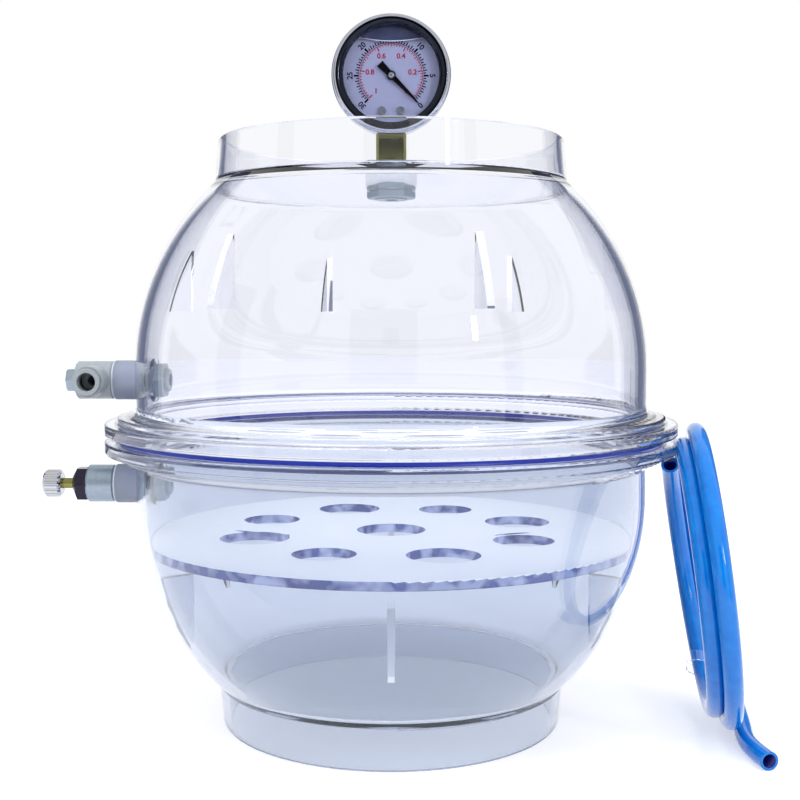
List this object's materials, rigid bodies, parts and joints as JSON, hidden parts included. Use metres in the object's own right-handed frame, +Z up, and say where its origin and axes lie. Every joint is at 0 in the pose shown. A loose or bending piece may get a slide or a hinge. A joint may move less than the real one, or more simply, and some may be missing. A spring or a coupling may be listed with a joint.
{
  "type": "vacuum chamber",
  "caption": "Clear round vacuum desiccator chamber with a sealed lift-off dome, perforated shelf, dial gauge, swivel hose port, needle vent valve and a loose hose.",
  "frame": {"origin": "on the chamber's vertical axis, at the plane its foot ring stands on", "axes": "+Z up along the chamber's axis; the gauge's dial faces -Y; the hose port and vent valve point to -X"},
  "size_m": [0.4068, 0.324, 0.3987],
  "materials": {
    "clear_polycarbonate": "clear, polished as moulded",
    "frosted_shelf": "clear sheet with bright cut edges",
    "blue_silicone": "smooth",
    "clear_gasket": "smooth, translucent",
    "grey_fitting": "nickel plated, satin",
    "brass": "turned",
    "stainless_case": "drawn and polished",
    "polished_bezel": "polished",
    "window_glass": "clear",
    "black_rubber": "matt",
    "white_dial": "satin enamel",
    "steel_screws": "turned",
    "black_paint": "satin",
    "grey_elbow": "satin moulded",
    "spring_steel": "bright",
    "chrome_plate": "bright plated",
    "blue_hose": "glossy extruded polyurethane",
    "clear_film": "clear film"
  },
  "bodies": {
    "lower_chamber": {"lower_bowl": "clear_polycarbonate", "flange_seal": "blue_silicone", "shelf_plate": "frosted_shelf", "vent_valve_body": "grey_fitting", "vent_valve_gasket": "clear_gasket", "vent_valve_nut": "grey_fitting", "vent_valve_stem_seal": "black_rubber", "vent_valve_bonnet": "chrome_plate", "hose_coil": "blue_hose", "hose_tail": "blue_hose", "hose_tie": "clear_film"},
    "lid": {"upper_dome": "clear_polycarbonate", "gauge_port_gasket": "clear_gasket", "gauge_port_bush": "grey_fitting", "gauge_port_nut": "grey_fitting", "gauge_socket": "brass", "gauge_case": "stainless_case", "gauge_fill_plug": "black_rubber", "gauge_bezel": "polished_bezel", "gauge_window": "window_glass", "gauge_window_gasket": "black_rubber", "gauge_dial": "white_dial", "gauge_dial_screws": "steel_screws", "gauge_movement_frame": "brass", "gauge_bourdon_tube": "brass", "gauge_link": "brass", "hose_port_stem": "grey_fitting", "hose_port_gasket": "clear_gasket", "hose_port_nut": "grey_fitting"},
    "sector_arm": {"gauge_sector": "brass"},
    "needle": {"gauge_pointer": "black_paint", "gauge_pinion": "brass"},
    "hose_elbow": {"hose_elbow_body": "grey_elbow", "hose_elbow_grip": "spring_steel", "hose_elbow_seal": "black_rubber"},
    "release_ring": {"hose_elbow_release_ring": "grey_elbow"},
    "vent_knob": {"vent_valve_knob": "chrome_plate", "vent_valve_stem": "brass"}
  },
  "joints": [
    {"name": "lid_lift", "type": "slide", "parent": "lower_chamber", "child": "lid", "axis": [0, 0, 1], "range_m": [0, 0.12]},
    {"name": "sector_swing", "type": "hinge", "parent": "lid", "child": "sector_arm", "pos_m": [0, 0, 0.3505], "axis": [0, 1, 0], "range_deg": [0, 30]},
    {"name": "pointer_turn", "type": "hinge", "parent": "lid", "child": "needle", "pos_m": [0, 0, 0.3655], "axis": [0, -1, 0], "range_deg": [0, 270]},
    {"name": "elbow_swivel", "type": "hinge", "parent": "lid", "child": "hose_elbow", "pos_m": [-0.17, 0, 0.195], "axis": [1, 0, 0], "continuous": true},
    {"name": "release_push", "type": "slide", "parent": "hose_elbow", "child": "release_ring", "axis": [0, 1, 0], "range_m": [0, 0.0015], "stiffness_N_per_m": 600},
    {"name": "vent_knob_turn", "type": "hinge", "parent": "lower_chamber", "child": "vent_knob", "pos_m": [-0.19, 0, 0.135], "axis": [-1, 0, 0], "range_deg": [0, 720]}
  ],
  "couplings": [
    {"joint": "pointer_turn", "follows": "sector_swing", "ratio": 9}
  ]
}
